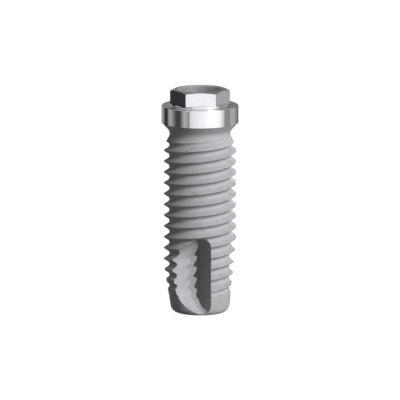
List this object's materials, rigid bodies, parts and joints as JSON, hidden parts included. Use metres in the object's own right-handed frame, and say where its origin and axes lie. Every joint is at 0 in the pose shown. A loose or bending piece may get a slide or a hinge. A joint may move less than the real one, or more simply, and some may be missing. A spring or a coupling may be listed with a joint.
{
  "type": "dental implant",
  "caption": "Screw-shaped titanium dental implant with an external hexagon, a polished round collar, a tapered threaded body and cutting flutes at its rounded apex.",
  "frame": {"origin": "centre of the flat apical end, on the implant's axis, which is also the surface it stands on", "axes": "+Z along the implant's axis from the apex to the hexagon; -Y is the front, towards the viewer of the picture; +X to the viewer's right"},
  "size_m": [0.004, 0.004, 0.0117],
  "materials": {
    "titanium": "blasted satin body, polished collar and hexagon"
  },
  "bodies": {
    "root": {"implant_body": "titanium"}
  },
  "joints": []
}
